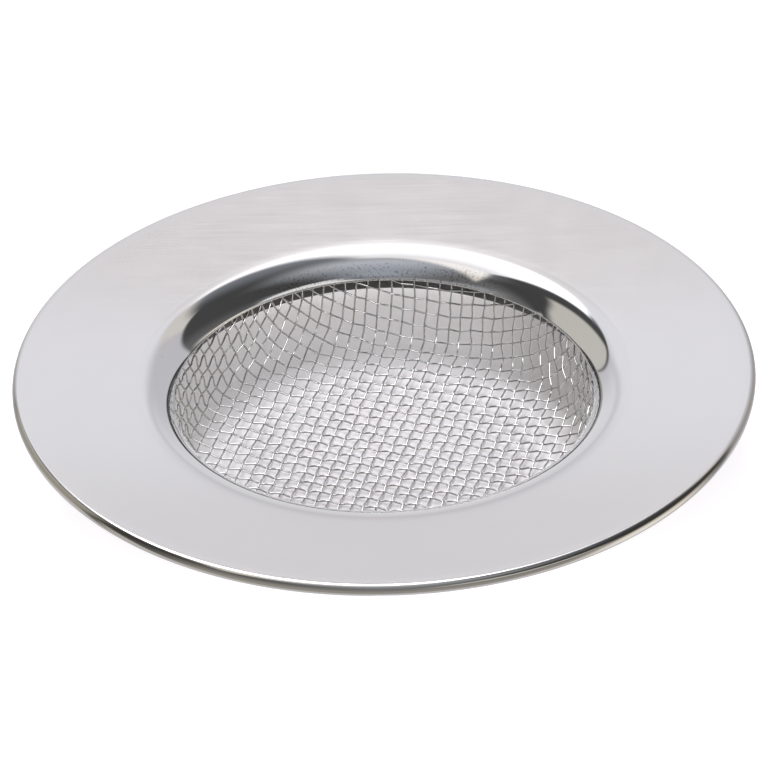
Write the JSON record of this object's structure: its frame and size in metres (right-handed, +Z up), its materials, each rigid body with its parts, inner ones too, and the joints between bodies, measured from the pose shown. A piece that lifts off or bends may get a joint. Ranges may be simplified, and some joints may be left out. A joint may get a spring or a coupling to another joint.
{
  "type": "drain hair catcher",
  "caption": "Round steel drain strainer: a wide dished rim with a rolled edge and a pressed throat, a clamp collar, and a shallow basket of plain-woven wire.",
  "frame": {"origin": "on the axis of the basket and rim, level with the underside of the basket's floor", "axes": "+Z up out of the basket's mouth, along the axis of the rim; X and Y lie in the plane of the rim"},
  "size_m": [0.075, 0.075, 0.0108],
  "materials": {
    "satin_steel": "satin flange with a polished throat and a polished rolled edge",
    "collar_steel": "plain rolled sheet, dull",
    "wire_steel": "bright drawn wire"
  },
  "bodies": {
    "root": {"rim_flange": "satin_steel", "clamp_collar": "collar_steel", "warp_wire_01": "wire_steel", "warp_wire_02": "wire_steel", "warp_wire_03": "wire_steel", "warp_wire_04": "wire_steel", "warp_wire_05": "wire_steel", "warp_wire_06": "wire_steel", "warp_wire_07": "wire_steel", "warp_wire_08": "wire_steel", "warp_wire_09": "wire_steel", "warp_wire_10": "wire_steel", "warp_wire_11": "wire_steel", "warp_wire_12": "wire_steel", "warp_wire_13": "wire_steel", "warp_wire_14": "wire_steel", "warp_wire_15": "wire_steel", "warp_wire_16": "wire_steel", "warp_wire_17": "wire_steel", "warp_wire_18": "wire_steel", "warp_wire_19": "wire_steel", "warp_wire_20": "wire_steel", "warp_wire_21": "wire_steel", "warp_wire_22": "wire_steel", "warp_wire_23": "wire_steel", "warp_wire_24": "wire_steel", "warp_wire_25": "wire_steel", "warp_wire_26": "wire_steel", "warp_wire_27": "wire_steel", "weft_wire_01": "wire_steel", "weft_wire_02": "wire_steel", "weft_wire_03": "wire_steel", "weft_wire_04": "wire_steel", "weft_wire_05": "wire_steel", "weft_wire_06": "wire_steel", "weft_wire_07": "wire_steel", "weft_wire_08": "wire_steel", "weft_wire_09": "wire_steel", "weft_wire_10": "wire_steel", "weft_wire_11": "wire_steel", "weft_wire_12": "wire_steel", "weft_wire_13": "wire_steel", "weft_wire_14": "wire_steel", "weft_wire_15": "wire_steel", "weft_wire_16": "wire_steel", "weft_wire_17": "wire_steel", "weft_wire_18": "wire_steel", "weft_wire_19": "wire_steel", "weft_wire_20": "wire_steel", "weft_wire_21": "wire_steel", "weft_wire_22": "wire_steel", "weft_wire_23": "wire_steel", "weft_wire_24": "wire_steel", "weft_wire_25": "wire_steel"}
  },
  "joints": []
}
